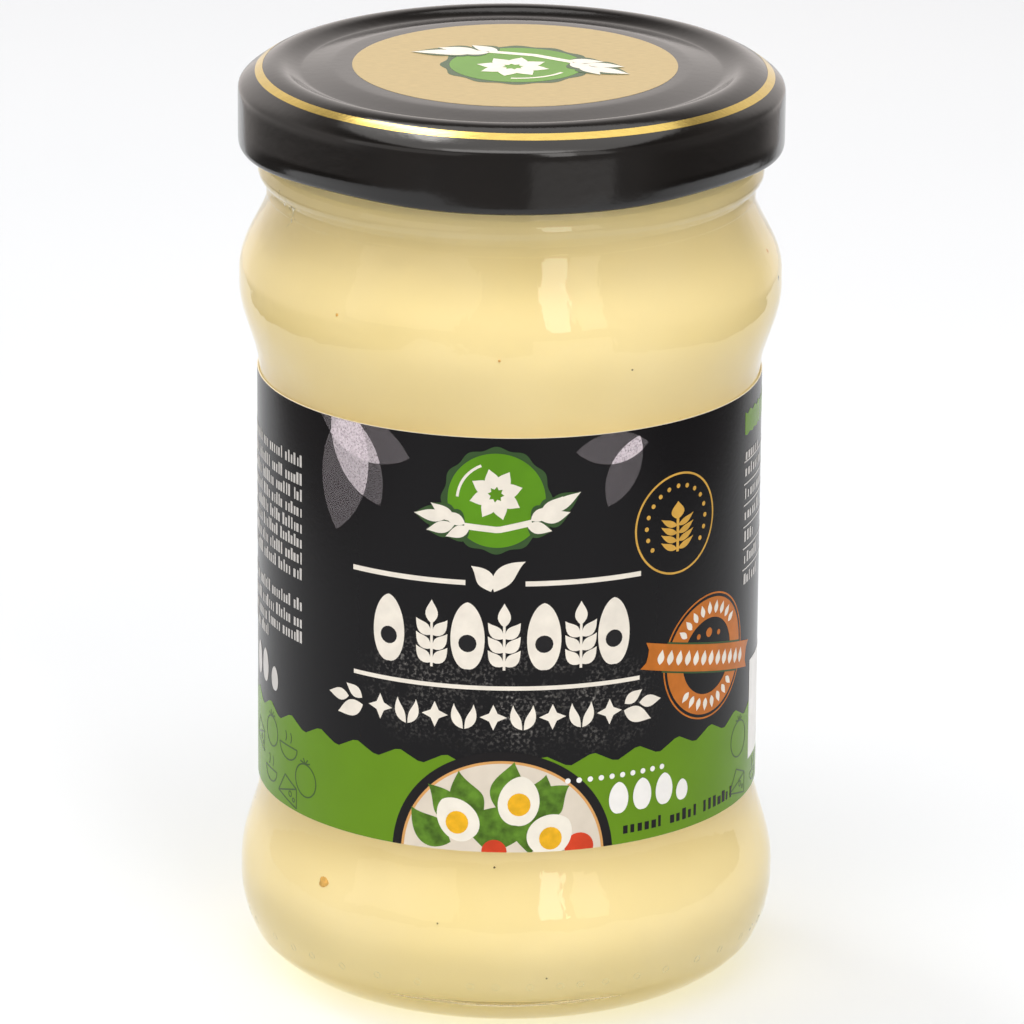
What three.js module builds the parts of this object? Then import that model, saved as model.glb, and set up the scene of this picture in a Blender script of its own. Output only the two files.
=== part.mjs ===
// A shut jar of mayonnaise: a waisted clear glass jar, its filling, a black twist-off lid and a
// paper label round the straight panel. Millimetres, +Z up, standing on z = 0 with the jar's axis
// on the Z axis and the front of the label towards -Y.
import * as THREE from "three";

// Roundness of every turned piece
const SEGMENTS = 56;

// Glass, outside
const CONTACT_INNER = 22.5; // the flat ring that the jar stands on
const CONTACT_OUTER = 25;
const CREST_RADIUS = 34.4; // the two bulges
const PANEL_RADIUS = 31.9; // the straight panel between them
const NECK_RADIUS = 30.6;
const HEEL_RADIUS = 32.9; // where the rounded heel meets the lower bulge
const HEEL_HEIGHT = 5;
const LOWER_CREST_BOTTOM = 11.5;
const LOWER_CREST_TOP = 12.8;
const PANEL_BOTTOM = 25.3;
const PANEL_TOP = 78.9;
const UPPER_CREST_BOTTOM = 90.6;
const UPPER_CREST_TOP = 92.4;
const NECK_HEIGHT = 103.6;
const PUSH_UP = 3; // how far the middle of the underside is domed up

// Glass, bead and rim
const FINISH_RADIUS = 31.2;
const BEAD_BOTTOM = 104.1;
const BEAD_TOP = 106.9;
const BEAD_PROUD = 0.8;
const BORE_RADIUS = 28.6;
const RIM_HEIGHT = 117.4;
const RIM_ROUND = 1;

// Glass, inside
const WALL = 2.7;
const FLOOR_HEIGHT = 4.6; // at the foot of the wall
const FLOOR_DOME = 2.8; // the floor follows the domed underside
const CORNER_START = 24;
const CORNER_HEIGHT = 8;

// Filling
const GAP = 0.3;
const FILL_LEVEL = 109;

// Lid
const PANEL_LEVEL = 118.6;
const PANEL_EDGE = 22.5; // from here the top falls to a shallow channel inside the ridge
const CHANNEL_LEVEL = 118.05;
const CHANNEL_INNER = 26.2;
const CHANNEL_OUTER = 27;
const RIDGE_RADIUS = 29.7;
const RIDGE_LEVEL = 118.9;
const SLOPE_RADIUS = 32.8; // the foot of the sloping ring outside the ridge
const SLOPE_LEVEL = 117.6;
const SKIRT_RADIUS = 34.5;
const SHOULDER_LEVEL = 115.2;
const CURL_START = 110.9;
const CURL_RADIUS = 33.4;
const LID_BOTTOM = 108.4;
const LID_SHEET = 0.8;
const LID_UNDERSIDE = 117.7;
const CURL_INNER = 31.8;
const LUGS = 4;
const LUG_TURN = THREE.MathUtils.degToRad(49); // the middle of a lug, from the front of the jar
const LUG_PINCH = 0.5; // how far a lug draws the curl in
const LUG_LIFT = 0.35; // and up

// Label
const LABEL_BOTTOM = 24.9;
const LABEL_TOP = 79.4;
const LABEL_INNER = 31.95;
const LABEL_OUTER = 32.15;

// 0 before the first value, 1 after the second, and half a cosine wave between them.
function rise(value, from, to) {
  const t = THREE.MathUtils.clamp((value - from) / (to - from), 0, 1);
  return (1 - Math.cos(Math.PI * t)) / 2;
}

// The outside of the glass from the top of the heel to the neck.
function outerRadius(z) {
  const swell = CREST_RADIUS - PANEL_RADIUS;
  const drop = Math.max(0, (LOWER_CREST_BOTTOM - z) / (LOWER_CREST_BOTTOM - HEEL_HEIGHT));
  return (
    CREST_RADIUS -
    (CREST_RADIUS - HEEL_RADIUS) * drop * drop -
    swell * rise(z, LOWER_CREST_TOP, PANEL_BOTTOM) +
    swell * rise(z, PANEL_TOP, UPPER_CREST_BOTTOM) -
    (CREST_RADIUS - NECK_RADIUS) * rise(z, UPPER_CREST_TOP, NECK_HEIGHT)
  );
}

// The inside of the wall, from the corner to the bore, drawn in by an extra clearance.
function innerRadius(z, clearance) {
  const wall = outerRadius(z) - WALL;
  return wall + (BORE_RADIUS - wall) * rise(z, UPPER_CREST_TOP, BEAD_TOP) - clearance;
}

// The heights at which the wall is drawn above a level: few on the straight panel, more on the bulges.
function wallHeights(from) {
  const span = (start, end, steps) =>
    Array.from({ length: steps }, (_, i) => start + ((end - start) * i) / steps);
  return [
    ...span(HEEL_HEIGHT, LOWER_CREST_BOTTOM, 3),
    ...span(LOWER_CREST_BOTTOM, LOWER_CREST_TOP, 1),
    ...span(LOWER_CREST_TOP, PANEL_BOTTOM, 5),
    ...span(PANEL_BOTTOM, PANEL_TOP, 1),
    ...span(PANEL_TOP, UPPER_CREST_BOTTOM, 6),
    ...span(UPPER_CREST_BOTTOM, UPPER_CREST_TOP, 1),
    ...span(UPPER_CREST_TOP, NECK_HEIGHT, 6),
    NECK_HEIGHT,
  ].filter((z) => z >= from);
}

// The domed floor and the round corner at the foot of the wall, from the axis outwards.
function floorAndCorner(clearance) {
  const points = [];
  for (const share of [0, 0.35, 0.7, 1]) {
    const dome = FLOOR_DOME * (1 - rise(share, 0, 1));
    points.push(new THREE.Vector2(share * CORNER_START, FLOOR_HEIGHT + dome + clearance));
  }
  const reach = innerRadius(FLOOR_HEIGHT + CORNER_HEIGHT, clearance) - CORNER_START;
  for (const share of [0.2, 0.4, 0.6, 0.8, 1]) {
    const angle = (share * Math.PI) / 2;
    points.push(
      new THREE.Vector2(
        CORNER_START + reach * Math.sin(angle),
        FLOOR_HEIGHT + clearance + (CORNER_HEIGHT - clearance) * (1 - Math.cos(angle)),
      ),
    );
  }
  return points;
}

// A turned piece: the profile's x is the radius and its y is the height.
function turned(profile) {
  return new THREE.LatheGeometry(profile, SEGMENTS).rotateX(Math.PI / 2);
}

function makeGlass() {
  const profile = [];
  for (const share of [0, 0.35, 0.7]) {
    profile.push(new THREE.Vector2(share * CONTACT_INNER, PUSH_UP * (1 - rise(share, 0, 1))));
  }
  const heel = new THREE.CubicBezierCurve(
    new THREE.Vector2(CONTACT_OUTER, 0),
    new THREE.Vector2(CONTACT_OUTER + 2.6, 0),
    new THREE.Vector2(HEEL_RADIUS - 0.7, HEEL_HEIGHT - 2.1),
    new THREE.Vector2(HEEL_RADIUS, HEEL_HEIGHT),
  );
  profile.push(new THREE.Vector2(CONTACT_INNER, 0), ...heel.getPoints(5));
  for (const z of wallHeights(HEEL_HEIGHT + 1)) {
    profile.push(new THREE.Vector2(outerRadius(z), z));
  }
  for (const share of [0, 0.25, 0.5, 0.75, 1]) {
    const proud = BEAD_PROUD * Math.sin(Math.PI * share);
    profile.push(
      new THREE.Vector2(FINISH_RADIUS + proud, BEAD_BOTTOM + (BEAD_TOP - BEAD_BOTTOM) * share),
    );
  }
  profile.push(
    new THREE.Vector2(FINISH_RADIUS, RIM_HEIGHT - RIM_ROUND),
    new THREE.Vector2(FINISH_RADIUS - RIM_ROUND, RIM_HEIGHT),
    new THREE.Vector2(BORE_RADIUS + RIM_ROUND / 2, RIM_HEIGHT),
    new THREE.Vector2(BORE_RADIUS, RIM_HEIGHT - RIM_ROUND / 2),
    new THREE.Vector2(BORE_RADIUS, BEAD_TOP),
  );
  const start = FLOOR_HEIGHT + CORNER_HEIGHT;
  const inside = wallHeights(start + 1).map(
    (z) => new THREE.Vector2(innerRadius(z, 0), z),
  );
  profile.push(...inside.reverse(), ...floorAndCorner(0).reverse());
  return turned(profile);
}

function makeFilling() {
  const profile = floorAndCorner(GAP);
  for (const z of wallHeights(FLOOR_HEIGHT + CORNER_HEIGHT + 1)) {
    profile.push(new THREE.Vector2(innerRadius(z, GAP), z));
  }
  const bore = BORE_RADIUS - GAP;
  profile.push(
    new THREE.Vector2(bore, BEAD_TOP),
    new THREE.Vector2(bore, FILL_LEVEL),
    new THREE.Vector2(0, FILL_LEVEL),
  );
  return turned(profile);
}

// The four lugs draw the curl at the skirt's lower edge inwards and lift it a little.
function pressLugs(geometry) {
  const position = geometry.getAttribute("position");
  const point = new THREE.Vector3();
  for (let i = 0; i < position.count; i++) {
    point.fromBufferAttribute(position, i);
    const depth = 1 - rise(point.z, LID_BOTTOM, CURL_START);
    const turn = Math.atan2(point.x, -point.y) - LUG_TURN;
    const press = depth * ((1 + Math.cos(LUGS * turn)) / 2) ** 2;
    const radius = Math.hypot(point.x, point.y);
    const scale = radius > CURL_INNER - 1 ? (radius - LUG_PINCH * press) / radius : 1;
    position.setXYZ(i, point.x * scale, point.y * scale, point.z + LUG_LIFT * press);
  }
  geometry.computeVertexNormals();
  return geometry;
}

function makeLid() {
  const inner = SKIRT_RADIUS - LID_SHEET;
  const outline = [
    [0, LID_UNDERSIDE],
    [inner - 1, LID_UNDERSIDE],
    [inner, LID_UNDERSIDE - 2],
    [inner, CURL_START],
    [CURL_INNER + 0.6, CURL_START - 0.7],
    [CURL_INNER, CURL_START - 1.4],
    [CURL_INNER + 0.3, LID_BOTTOM + 0.3],
    [CURL_RADIUS - 0.6, LID_BOTTOM],
    [CURL_RADIUS, LID_BOTTOM + 0.1],
    [SKIRT_RADIUS - 0.3, LID_BOTTOM + 1],
    [SKIRT_RADIUS, CURL_START],
    [SKIRT_RADIUS, SHOULDER_LEVEL],
    [SKIRT_RADIUS - 0.25, SHOULDER_LEVEL + 1.2],
    [SKIRT_RADIUS - 0.8, SHOULDER_LEVEL + 2],
    [SLOPE_RADIUS, SLOPE_LEVEL],
    [RIDGE_RADIUS + 1.5, RIDGE_LEVEL - 0.5],
    [RIDGE_RADIUS, RIDGE_LEVEL],
    [RIDGE_RADIUS - 0.9, RIDGE_LEVEL - 0.2],
    [CHANNEL_OUTER, CHANNEL_LEVEL],
    [CHANNEL_INNER, CHANNEL_LEVEL],
    [PANEL_EDGE, PANEL_LEVEL],
    [0, PANEL_LEVEL],
  ];
  return pressLugs(turned(outline.map(([radius, z]) => new THREE.Vector2(radius, z))));
}

function makeLabel() {
  return turned([
    new THREE.Vector2(LABEL_INNER, LABEL_BOTTOM),
    new THREE.Vector2(LABEL_OUTER, LABEL_BOTTOM),
    new THREE.Vector2(LABEL_OUTER, LABEL_TOP),
    new THREE.Vector2(LABEL_INNER, LABEL_TOP),
    new THREE.Vector2(LABEL_INNER, LABEL_BOTTOM),
  ]);
}

function piece(name, geometry, finish) {
  const mesh = new THREE.Mesh(geometry, new THREE.MeshStandardMaterial(finish));
  mesh.name = name;
  return mesh;
}

const jar = new THREE.Group();
jar.add(
  piece("glass_jar", makeGlass(), {
    color: 0xe9ecdf,
    roughness: 0.05,
    metalness: 0,
    transparent: true,
    opacity: 0.35,
  }),
  piece("mayonnaise", makeFilling(), { color: 0xf3dfa8, roughness: 0.45, metalness: 0 }),
  piece("lid", makeLid(), { color: 0x17161a, roughness: 0.25, metalness: 0.3 }),
  piece("label", makeLabel(), { color: 0x201f20, roughness: 0.5, metalness: 0 }),
);

export default jar;
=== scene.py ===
import math

import bmesh
import bpy
import numpy as np
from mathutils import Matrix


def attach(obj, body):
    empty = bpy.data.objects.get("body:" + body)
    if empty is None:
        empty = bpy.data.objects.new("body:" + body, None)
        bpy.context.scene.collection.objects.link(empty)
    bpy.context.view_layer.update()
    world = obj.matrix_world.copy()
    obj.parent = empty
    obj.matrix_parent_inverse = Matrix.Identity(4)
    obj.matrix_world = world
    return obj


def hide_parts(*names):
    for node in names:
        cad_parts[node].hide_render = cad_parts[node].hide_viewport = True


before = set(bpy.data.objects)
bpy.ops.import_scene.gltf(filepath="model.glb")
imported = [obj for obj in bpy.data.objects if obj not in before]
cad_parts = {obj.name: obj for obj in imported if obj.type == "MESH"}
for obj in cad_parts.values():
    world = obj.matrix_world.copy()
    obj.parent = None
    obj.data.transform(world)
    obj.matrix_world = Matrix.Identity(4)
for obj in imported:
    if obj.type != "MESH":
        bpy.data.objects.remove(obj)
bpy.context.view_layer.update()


# Camera: a long lens about a metre away, looking down at the jar by eighteen degrees, and turned
# by under half a degree, as the jar was photographed. It aims a hair to the right of the axis, so
# that the jar stands a little left of the middle of the picture.
camera_distance = 0.98077
camera_pitch = math.radians(17.988)
camera_roll = math.radians(0.446)
camera_aim = np.array([0.00044, 0.0, 0.05943])

camera_data = bpy.data.cameras.new("camera")
camera_data.sensor_width = 36.0
camera_data.lens = 269.0
camera_data.clip_end = 50.0
camera = bpy.data.objects.new("camera", camera_data)
bpy.context.scene.collection.objects.link(camera)
camera.location = camera_aim + camera_distance * np.array(
    [0.0, -math.cos(camera_pitch), math.sin(camera_pitch)]
)
camera.rotation_mode = "XYZ"
camera.rotation_euler = (math.pi / 2 - camera_pitch, 0.0, 0.0)
camera.rotation_euler.rotate_axis("Z", camera_roll)
bpy.context.scene.camera = camera
bpy.context.scene.view_settings.view_transform = "Standard"


# Studio: a pale floor, white surroundings behind and beside the jar and dim ones in front and
# overhead, a tall window of light in front on the right, a wide card of light on the left, and
# soft and narrow lamps above.
def rgb(red, green, blue):
    """A colour read on the 0 to 255 scale of a screen, as linear light with alpha 1."""
    channels = np.array([red, green, blue]) / 255
    linear = np.where(channels > 0.04045, ((channels + 0.055) / 1.055) ** 2.4, channels / 12.92)
    return (*linear.tolist(), 1.0)


def node(tree, kind, values=None, **settings):
    """A shader node with its settings, and its input sockets set to numbers or joined to outputs."""
    made = tree.nodes.new(f"ShaderNode{kind}")
    for name, value in settings.items():
        setattr(made, name, value)
    for name, value in (values or {}).items():
        if isinstance(value, bpy.types.NodeSocket):
            tree.links.new(value, made.inputs[name])
        else:
            made.inputs[name].default_value = value
    return made


def material(name, **sockets):
    """A material with one Principled shader, whose sockets are set by name with _ for a space."""
    made = bpy.data.materials.new(name)
    made.use_nodes = True
    shader = made.node_tree.nodes["Principled BSDF"]
    for socket, value in sockets.items():
        shader.inputs[socket.replace("_", " ")].default_value = value
    return made, made.node_tree, shader


def parts(tree, kind="Object"):
    """The X, Y and Z of a kind of texture coordinate, as outputs."""
    return node(tree, "SeparateXYZ", {0: node(tree, "TexCoord").outputs[kind]}).outputs


def noise(tree, scale, detail=2.0, stretch=(1.0, 1.0, 1.0)):
    """Noise between 0 and 1 on Object coordinates, scale features to the metre."""
    place = node(tree, "TexCoord").outputs["Object"]
    place = node(tree, "Mapping", {"Vector": place, "Scale": stretch}).outputs[0]
    return node(tree, "TexNoise", {"Vector": place, "Scale": scale, "Detail": detail}).outputs[0]


def ramp(tree, factor, *stops):
    """A colour that passes through the stops, each a place from 0 to 1 and a colour."""
    made = node(tree, "ValToRGB", {"Fac": factor})
    elements = made.color_ramp.elements
    while len(elements) < len(stops):
        elements.new(0.5)
    for element, (place, colour) in zip(elements, stops):
        element.position = place
        element.color = colour
    return made.outputs[0]


def paint(tree, shader, factor, *stops):
    """Gives a shader the base colours of a ramp."""
    tree.links.new(ramp(tree, factor, *stops), shader.inputs["Base Color"])


def bump(tree, height, strength, distance, **sockets):
    """A normal tilted by the slope of a height pattern, whose full range is a distance in metres."""
    values = {"Height": height, "Strength": strength, "Distance": distance, **sockets}
    return node(tree, "Bump", values).outputs[0]


def shade(colour, share):
    """A colour made darker or lighter by a share of its light."""
    return (*[min(1.0, channel * share) for channel in colour[:3]], 1.0)


def math_node(tree, operation, *values):
    """The result of a Math node on numbers or outputs."""
    return node(tree, "Math", dict(enumerate(values)), operation=operation).outputs[0]


def lit_through(tree, shader, colour):
    """Lets lamps shine through a surface: rays towards a lamp pass it, tinted by a colour."""
    passing = node(tree, "BsdfTransparent", {"Color": colour})
    shadow = node(tree, "LightPath").outputs["Is Shadow Ray"]
    both = node(tree, "MixShader", {0: shadow, 1: shader.outputs[0], 2: passing.outputs[0]})
    tree.links.new(both.outputs[0], tree.nodes["Material Output"].inputs["Surface"])


floor_gap, floor_half, floor_near, floor_far = 0.00006, 0.22, -0.31, 1.8
floor_x, floor_y = np.meshgrid(
    np.linspace(-floor_half, floor_half, 9), np.linspace(floor_near, floor_far, 27)
)
floor_points = np.stack([floor_x, floor_y, np.full_like(floor_x, -floor_gap)], -1).reshape(-1, 3)
floor_index = np.arange(floor_x.size).reshape(floor_x.shape)
floor_faces = np.stack(
    [floor_index[:-1, :-1], floor_index[:-1, 1:], floor_index[1:, 1:], floor_index[1:, :-1]], -1
)
floor_mesh = bpy.data.meshes.new("floor")
floor_mesh.from_pydata(floor_points.tolist(), [], floor_faces.reshape(-1, 4).tolist())
floor = bpy.data.objects.new("floor", floor_mesh)
bpy.context.scene.collection.objects.link(floor)
floor_paint, tree, shader = material("floor_paint", Roughness=0.6)
paint(tree, shader, noise(tree, 3.0), (0.3, rgb(233, 239, 245)), (0.7, rgb(238, 243, 248)))
floor_mesh.materials.append(floor_paint)


def smooth(tree, value, start, end):
    """A smooth step from 0 at start to 1 at end."""
    values = {"Value": value, "From Min": start, "From Max": end}
    return node(tree, "MapRange", values, interpolation_type="SMOOTHSTEP").outputs[0]


def mix(tree, factor, start, end):
    """A number that goes from start at factor 0 to end at factor 1. The two may be outputs."""
    values = {"Factor": factor, "A": start, "B": end}
    return node(tree, "Mix", values, data_type="FLOAT").outputs[0]


backdrop, dim_front, dim_side, back, white_left, white_right = 1.0, 0.38, 0.09, 1.2, 0.78, 0.36
beside_start, beside_end, behind_start, behind_end = np.radians([50.0, 78.0, 125.0, 150.0]).tolist()
crossing, low_dark, low_white, high_white, high_dark = 0.8, -0.33, -0.17, 0.5, 0.85
studio_tint, plain_white = (1.0, 0.93, 0.89, 1.0), (1.0, 1.0, 1.0, 1.0)
world = bpy.data.worlds.new("studio")
world.use_nodes = True
bpy.context.scene.world = world
tree = world.node_tree
direction = parts(tree, "Generated")
toward = math_node(tree, "MULTIPLY", direction["Y"], -1.0)
bearing = math_node(tree, "ARCTAN2", direction["X"], toward)
aside = math_node(tree, "ABSOLUTE", bearing)
beside = smooth(tree, aside, beside_start, beside_end)
behind = smooth(tree, aside, behind_start, behind_end)
above_floor = smooth(tree, direction["Z"], low_dark, low_white)
height = math_node(tree, "MULTIPLY", above_floor, smooth(tree, direction["Z"], high_dark, high_white))
white = mix(tree, smooth(tree, bearing, -crossing, crossing), white_left, white_right)
white = mix(tree, behind, white, back)
dim = mix(tree, beside, dim_front, dim_side)
glow = mix(tree, math_node(tree, "MULTIPLY", beside, height), dim, white)
seen = node(tree, "LightPath").outputs["Is Camera Ray"]
tint = node(tree, "Mix", {0: seen, 6: studio_tint, 7: plain_white}, data_type="RGBA")
background = tree.nodes["Background"]
tree.links.new(mix(tree, seen, glow, backdrop), background.inputs["Strength"])
tree.links.new(tint.outputs[2], background.inputs["Color"])


def softbox(name, turn, lift, distance, width, height, radiance):
    """A rectangular light at a bearing from the jar's front and a height angle, facing the jar."""
    data = bpy.data.lights.new(name, "AREA")
    data.shape = "RECTANGLE"
    data.size = width
    data.size_y = height
    data.energy = radiance * math.pi * width * height
    data.color = (1.0, 0.97, 0.94)
    lamp = bpy.data.objects.new(name, data)
    bpy.context.scene.collection.objects.link(lamp)
    turn, lift = math.radians(turn), math.radians(lift)
    lamp.location = camera_aim + distance * np.array(
        [math.sin(turn) * math.cos(lift), -math.cos(turn) * math.cos(lift), math.sin(lift)]
    )
    lamp.rotation_euler = (math.pi / 2 - lift, 0.0, turn)
    return lamp


softbox("window", 20.8, 27.0, 1.3, 0.27, 1.14, 3.5)
softbox("window_side", 35.5, 27.0, 1.3, 0.30, 1.14, 1.15)
softbox("window_foot", 26.0, -20.0, 1.3, 0.80, 0.40, 0.65)
softbox("card_left", -46.0, 22.5, 1.3, 1.25, 1.02, 0.60)
softbox("ceiling", 0.0, 90.0, 1.12, 1.3, 1.2, 1.75)
softbox("lamp_front", -4.0, 66.0, 1.4, 0.90, 0.50, 2.7)
overhead = softbox("lamp_overhead", 0.0, 90.0, 1.1, 0.16, 0.50, 10.0)
overhead_shift, overhead_turn = (-0.35, 0.37), math.radians(29.0)
overhead.location.x += overhead_shift[0]
overhead.location.y += overhead_shift[1]
overhead.rotation_euler.z = overhead_turn


# Glass jar: pressed and blown soda-lime glass, turned in shape, with two bulges round a straight
# panel for the label, a rounded heel, a neck bead and a rim that the lid covers. The mould leaves
# a faint ripple and a fine step in the neck, and grip dashes run round the heel's sides and back.
contact_inner, contact_outer = 22.5, 25.0
crest_radius, panel_radius, neck_radius = 34.4, 31.9, 30.6
heel_radius, heel_height = 32.9, 5.0
lower_crest_bottom, lower_crest_top = 11.5, 12.8
panel_bottom, panel_top = 25.3, 78.9
upper_crest_bottom, upper_crest_top = 90.6, 92.4
neck_height = 103.6
push_up = 3.0
finish_radius, bead_bottom, bead_top, bead_proud = 31.2, 104.1, 106.9, 0.8
bore_radius, rim_height, rim_round = 28.6, 117.4, 1.0
wall = 2.7
floor_height, floor_dome = 4.6, 2.8
corner_start, corner_height = 24.0, 8.0
step_height, step_proud = 102.2, 0.24
seam_turn = math.radians(-62.0)


def rise(value, start, end):
    """0 before start, 1 after end, and half a cosine wave between them."""
    return (1 - np.cos(np.pi * np.clip((value - start) / (end - start), 0, 1))) / 2


def outer_radius(z):
    """The outside of the glass above the heel: the crest radius, less a parabola down to the
    heel, less a wave down to the panel, plus a wave up from it, less a wave in to the neck."""
    swell = crest_radius - panel_radius
    drop = np.clip((lower_crest_bottom - z) / (lower_crest_bottom - heel_height), 0, 1)
    return (
        crest_radius
        - (crest_radius - heel_radius) * drop**2
        - swell * rise(z, lower_crest_top, panel_bottom)
        + swell * rise(z, panel_top, upper_crest_bottom)
        - (crest_radius - neck_radius) * rise(z, upper_crest_top, neck_height)
    )


def inner_profile(clearance):
    """The inside of the glass from the axis to under the lid, drawn in by a clearance: a domed
    floor, a quarter ellipse as the corner, and a wall that runs beside the outside."""

    def wall_radius(z):
        """The wall beside the outside, drawn in to the bore towards the top."""
        beside = outer_radius(z) - wall
        return beside + (bore_radius - beside) * rise(z, upper_crest_top, bead_top) - clearance

    share = np.linspace(0, 1, 14)
    dome_r = share * corner_start
    dome_z = floor_height + floor_dome * (1 - rise(share, 0, 1)) + clearance
    angle = np.linspace(0, np.pi / 2, 14)[1:]
    reach = wall_radius(floor_height + corner_height) - corner_start
    corner_r = corner_start + reach * np.sin(angle)
    corner_z = floor_height + clearance + (corner_height - clearance) * (1 - np.cos(angle))
    spans = ((13.2, 26, 14), (30, 76, 12), (78.5, 107, 34))
    wall_z = np.concatenate([np.linspace(*span) for span in spans])
    radius = np.concatenate([dome_r, corner_r, wall_radius(wall_z)])
    return radius, np.concatenate([dome_z, corner_z, wall_z])


def turned(radius, height, turns):
    """Points of a profile turned about Z, one row for each profile point, the first column at
    the front: x is radius times sine, y is minus radius times cosine."""
    angle = np.arange(turns) * 2 * np.pi / turns
    radius = radius[:, None] if radius.ndim == 1 else radius
    height = height[:, None] if height.ndim == 1 else height
    x = radius * np.sin(angle)
    y = -radius * np.cos(angle)
    return np.stack([x, y, height + 0 * x], -1)


def join_grid(points, wrap_rows, wrap_columns, first):
    """The quads between neighbouring points of a grid, numbered from first, with the last row or
    column joined to the first one where the grid closes on itself."""
    rows, columns = points.shape[:2]
    index = first + np.arange(rows * columns).reshape(rows, columns)
    if wrap_rows:
        index = np.vstack([index, index[:1]])
    if wrap_columns:
        index = np.hstack([index, index[:, :1]])
    corners = [index[:-1, :-1], index[:-1, 1:], index[1:, 1:], index[1:, :-1]]
    return np.stack(corners, -1).reshape(-1, 4)


def make_piece(name, bodies, finish, sharp_angle=35.0):
    """A mesh of closed bodies, each a list of grids of points in millimetres with their two wrap
    flags. Points of one body that share a place are merged, and the faces turn outwards."""
    faces, points, owner = [], [], []
    first = 0
    for body, grids in enumerate(bodies):
        for grid, wrap_rows, wrap_columns in grids:
            faces.append(join_grid(grid, wrap_rows, wrap_columns, first))
            points.append(grid.reshape(-1, 3))
            owner.append(np.full(len(points[-1]), body))
            first += len(points[-1])
    faces, points = np.vstack(faces), np.vstack(points) * 0.001
    places = np.column_stack([np.round(points * 1e7), np.concatenate(owner)]).astype(np.int64)
    _, kept, merged = np.unique(places, axis=0, return_index=True, return_inverse=True)
    points, faces = points[kept], merged.reshape(-1)[faces]
    triangles = np.vstack([faces[:, [0, 1, 2]], faces[:, [0, 2, 3]]])
    flat = (triangles == np.roll(triangles, 1, axis=1)).any(axis=1)
    mesh = bpy.data.meshes.new(name)
    mesh.from_pydata(points.tolist(), [], triangles[~flat].tolist())
    mesh.validate()
    shell = bmesh.new()
    shell.from_mesh(mesh)
    bmesh.ops.recalc_face_normals(shell, faces=shell.faces)
    shell.to_mesh(mesh)
    shell.free()
    mesh.shade_smooth()
    mesh.set_sharp_from_angle(angle=math.radians(sharp_angle))
    mesh.materials.append(finish)
    piece = bpy.data.objects.new(name, mesh)
    bpy.context.scene.collection.objects.link(piece)
    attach(piece, "root")
    return piece


def glass_outline():
    """The outside of the glass from the axis under the jar to the rim: the push-up, the contact
    ring, the heel as a Bezier curve, the bulges, the cove with its step, the bead and the rim."""
    share = np.linspace(0, 1, 12)[:-1]
    under_r, under_z = share * contact_inner, push_up * (1 - rise(share, 0, 1))
    t = np.linspace(0, 1, 18)[:, None]
    knots_r = [contact_outer, contact_outer + 2.6, heel_radius - 0.7, heel_radius]
    knots = np.stack([knots_r, [0, 0, heel_height - 2.1, heel_height]], -1)
    weights = np.hstack([(1 - t) ** 3, 3 * t * (1 - t) ** 2, 3 * t**2 * (1 - t), t**3])
    heel = weights @ knots
    spans = ((5.4, 26, 38), (29, 76, 14), (78.4, 101.4, 52), (101.5, neck_height, 30))
    side_z = np.concatenate([np.linspace(*span) for span in spans])
    step = step_proud * rise(side_z, step_height - 0.15, step_height + 0.15)
    share = np.linspace(0, 1, 20)
    bead_z = bead_bottom + (bead_top - bead_bottom) * share
    bead_r = finish_radius + bead_proud * np.sin(np.pi * share) ** 0.7
    angle = np.linspace(0, np.pi / 2, 7)
    rim_z = rim_height - rim_round + rim_round * np.sin(angle)
    rim_r = finish_radius - rim_round + rim_round * np.cos(angle)
    lip_z = rim_height - rim_round / 2 + rim_round / 2 * np.cos(angle)
    lip_r = bore_radius + rim_round / 2 - rim_round / 2 * np.sin(angle)
    radius = [under_r, [contact_inner], heel[:, 0], outer_radius(side_z) + step, bead_r, rim_r, lip_r]
    height = [under_z, [0.0], heel[:, 1], side_z, bead_z, rim_z, lip_z]
    return np.concatenate(radius), np.concatenate(height)


def ripple(angle, z, seed, reach, size):
    """A slow uneven swell over a turned surface: a sum of waves round it and along it, each with
    a seeded length, phase and slant, scaled to a size in millimetres."""
    draw = np.random.default_rng(seed)
    total = np.zeros(np.broadcast(angle, z).shape)
    for _ in range(14):
        round_waves = draw.integers(2, reach)
        along = draw.uniform(-0.55, 0.55)
        phase = draw.uniform(0, 2 * np.pi)
        total = total + np.sin(round_waves * angle + along * z + phase) / 14
    return size * total


glass_turns = 320
glass_r, glass_z = glass_outline()
inside_r, inside_z = inner_profile(0.0)
profile_r = np.concatenate([glass_r, inside_r[::-1]])
profile_z = np.concatenate([glass_z, inside_z[::-1]])
glass_angle = np.arange(glass_turns)[None, :] * 2 * np.pi / glass_turns
on_body = rise(profile_z, 6, 12) * (1 - rise(profile_z, 98, 103))
on_panel = rise(profile_z, panel_bottom - 4, panel_bottom) * (1 - rise(profile_z, panel_top, 82))
uneven = ripple(glass_angle, profile_z[:, None], 3, 22, 0.10) * (on_body * (1 - on_panel))[:, None]
dash_count, dash_height, dash_half, dash_depth = 64, 2.4, 0.7, 0.16
dashes = np.exp(-(((profile_z - dash_height) / dash_half) ** 4))
dashes = dashes * (np.arange(len(profile_z)) < len(glass_z))
dash_wave = np.clip(np.sin(dash_count * glass_angle) * 1.6, 0, 1)
dash_wave = dash_wave * rise(1 - np.cos(glass_angle), 0.2, 0.5)
glass_radius = profile_r[:, None] + uneven - dash_depth * dashes[:, None] * dash_wave
glass_radius = np.where(profile_r[:, None] < 1e-6, 0.0, glass_radius)

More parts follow.
